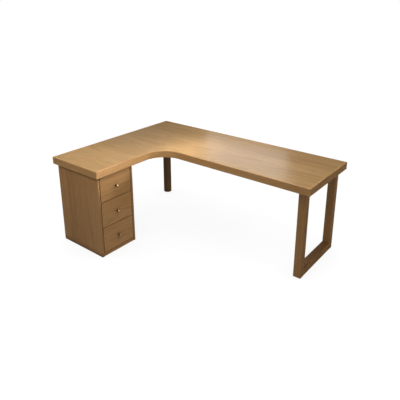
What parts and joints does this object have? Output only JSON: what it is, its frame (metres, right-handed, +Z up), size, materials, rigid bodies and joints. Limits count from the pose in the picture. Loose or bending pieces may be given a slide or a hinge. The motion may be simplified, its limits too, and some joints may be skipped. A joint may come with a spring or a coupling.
{
  "type": "corner desk",
  "caption": "L-shaped wooden corner desk with a rounded inner corner, resting on a drawer pedestal, a round corner leg and an open U-shaped frame leg.",
  "frame": {"origin": "centre of the desk's overall length and width, on the floor", "axes": "+X along the long arm towards its free end, +Y towards the long arm's wall side, +Z up"},
  "size_m": [1.91, 1.36, 0.75],
  "materials": {
    "desktop_veneer": "satin oak veneer, grain along the long arm",
    "desktop_lipping": "satin solid oak edge strips, grain along each edge",
    "frame_leg_wood": "satin solid oak",
    "corner_leg_wood": "satin solid oak, darker",
    "pedestal_wood": "satin oak panel, grain upright",
    "drawer_front_wood": "satin oak, grain level",
    "drawer_box_wood": "plain light hardwood, unstained",
    "dowel_wood": "plain beech",
    "knob_brass": "aged satin brass",
    "slide_steel": "zinc-plated rolled steel",
    "black_steel": "black powder coat",
    "zinc_screws": "zinc-plated",
    "glide_plastic": "matt"
  },
  "bodies": {
    "desk": {"desktop_core": "desktop_veneer", "lipping_back": "desktop_lipping", "lipping_outer_side": "desktop_lipping", "lipping_return_end": "desktop_lipping", "lipping_inner_edge": "desktop_lipping", "lipping_right_end": "desktop_lipping", "frame_leg_front_post": "frame_leg_wood", "frame_leg_rear_post": "frame_leg_wood", "frame_leg_foot_rail": "frame_leg_wood", "frame_leg_plate": "black_steel", "frame_leg_post_bolts": "zinc_screws", "corner_leg": "corner_leg_wood", "corner_leg_plate": "black_steel", "corner_leg_plate_screws": "zinc_screws", "corner_leg_hanger_bolt": "zinc_screws", "floor_glides": "glide_plastic", "pedestal_end_panel": "pedestal_wood", "pedestal_inner_panel": "pedestal_wood", "pedestal_back_panel": "pedestal_wood", "pedestal_bottom_board": "pedestal_wood", "pedestal_plinth_rail": "pedestal_wood", "pedestal_front_top_rail": "pedestal_wood", "pedestal_rear_top_rail": "pedestal_wood", "desktop_screws": "zinc_screws", "wood_dowels": "dowel_wood", "slide_screws": "zinc_screws", "bottom_slide_cabinet_members": "slide_steel", "middle_slide_cabinet_members": "slide_steel", "top_slide_cabinet_members": "slide_steel"},
    "top_drawer": {"top_drawer_front": "drawer_front_wood", "top_drawer_knob": "knob_brass", "top_drawer_knob_screw": "zinc_screws", "top_drawer_left_side": "drawer_box_wood", "top_drawer_right_side": "drawer_box_wood", "top_drawer_box_front": "drawer_box_wood", "top_drawer_box_back": "drawer_box_wood", "top_drawer_bottom": "drawer_box_wood", "top_slide_drawer_members": "slide_steel"},
    "top_slide_middle": {"top_slide_middle_members": "slide_steel"},
    "middle_drawer": {"middle_drawer_front": "drawer_front_wood", "middle_drawer_knob": "knob_brass", "middle_drawer_knob_screw": "zinc_screws", "middle_drawer_left_side": "drawer_box_wood", "middle_drawer_right_side": "drawer_box_wood", "middle_drawer_box_front": "drawer_box_wood", "middle_drawer_box_back": "drawer_box_wood", "middle_drawer_bottom": "drawer_box_wood", "middle_slide_drawer_members": "slide_steel"},
    "middle_slide_middle": {"middle_slide_middle_members": "slide_steel"},
    "bottom_drawer": {"bottom_drawer_front": "drawer_front_wood", "bottom_drawer_knob": "knob_brass", "bottom_drawer_knob_screw": "zinc_screws", "bottom_drawer_left_side": "drawer_box_wood", "bottom_drawer_right_side": "drawer_box_wood", "bottom_drawer_box_front": "drawer_box_wood", "bottom_drawer_box_back": "drawer_box_wood", "bottom_drawer_bottom": "drawer_box_wood", "bottom_slide_drawer_members": "slide_steel"},
    "bottom_slide_middle": {"bottom_slide_middle_members": "slide_steel"}
  },
  "joints": [
    {"name": "top_drawer_slide", "type": "slide", "parent": "desk", "child": "top_drawer", "axis": [1, 0, 0], "range_m": [0, 0.4]},
    {"name": "top_slide_middle_travel", "type": "slide", "parent": "desk", "child": "top_slide_middle", "axis": [1, 0, 0], "range_m": [0, 0.2]},
    {"name": "middle_drawer_slide", "type": "slide", "parent": "desk", "child": "middle_drawer", "axis": [1, 0, 0], "range_m": [0, 0.4]},
    {"name": "middle_slide_middle_travel", "type": "slide", "parent": "desk", "child": "middle_slide_middle", "axis": [1, 0, 0], "range_m": [0, 0.2]},
    {"name": "bottom_drawer_slide", "type": "slide", "parent": "desk", "child": "bottom_drawer", "axis": [1, 0, 0], "range_m": [0, 0.4]},
    {"name": "bottom_slide_middle_travel", "type": "slide", "parent": "desk", "child": "bottom_slide_middle", "axis": [1, 0, 0], "range_m": [0, 0.2]}
  ],
  "couplings": [
    {"joint": "top_slide_middle_travel", "follows": "top_drawer_slide", "ratio": 0.5},
    {"joint": "middle_slide_middle_travel", "follows": "middle_drawer_slide", "ratio": 0.5},
    {"joint": "bottom_slide_middle_travel", "follows": "bottom_drawer_slide", "ratio": 0.5}
  ]
}
